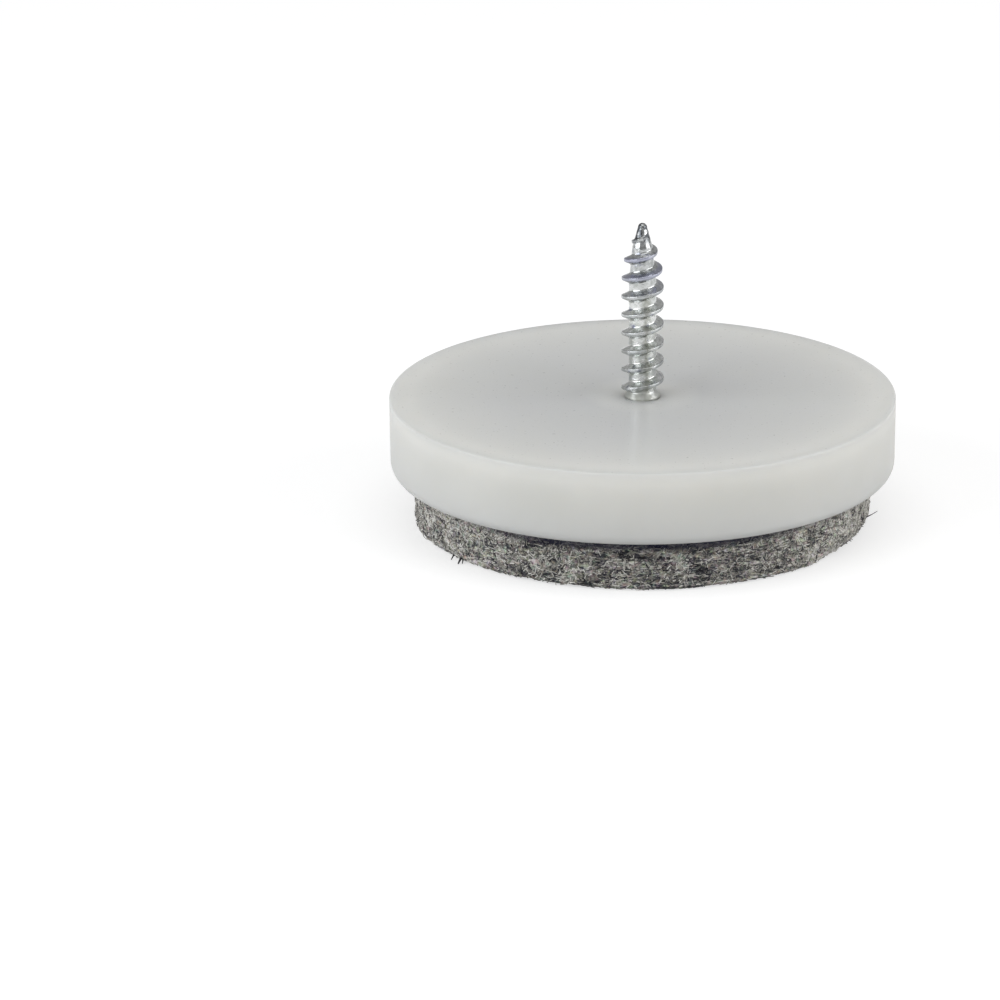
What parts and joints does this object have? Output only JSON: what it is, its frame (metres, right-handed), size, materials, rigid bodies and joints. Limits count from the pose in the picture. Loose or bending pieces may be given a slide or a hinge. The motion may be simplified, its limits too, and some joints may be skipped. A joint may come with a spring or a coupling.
{
  "type": "screw-in felt glide",
  "caption": "Round furniture glide: a flat moulded disc with a wood screw standing out of its top face and a thick felt pad set into its underside.",
  "frame": {"origin": "centre of the disc's top face, which seats against the furniture leg", "axes": "+Z along the screw towards its point; the felt faces -Z, towards the floor"},
  "size_m": [0.05, 0.05, 0.0305],
  "materials": {
    "white_nylon": "satin",
    "zinc_plated_steel": "bright",
    "grey_felt": "matt",
    "dark_adhesive": "matt"
  },
  "bodies": {
    "root": {"glide_disc": "white_nylon", "wood_screw": "zinc_plated_steel", "felt_pad": "grey_felt", "adhesive_film": "dark_adhesive"}
  },
  "joints": []
}
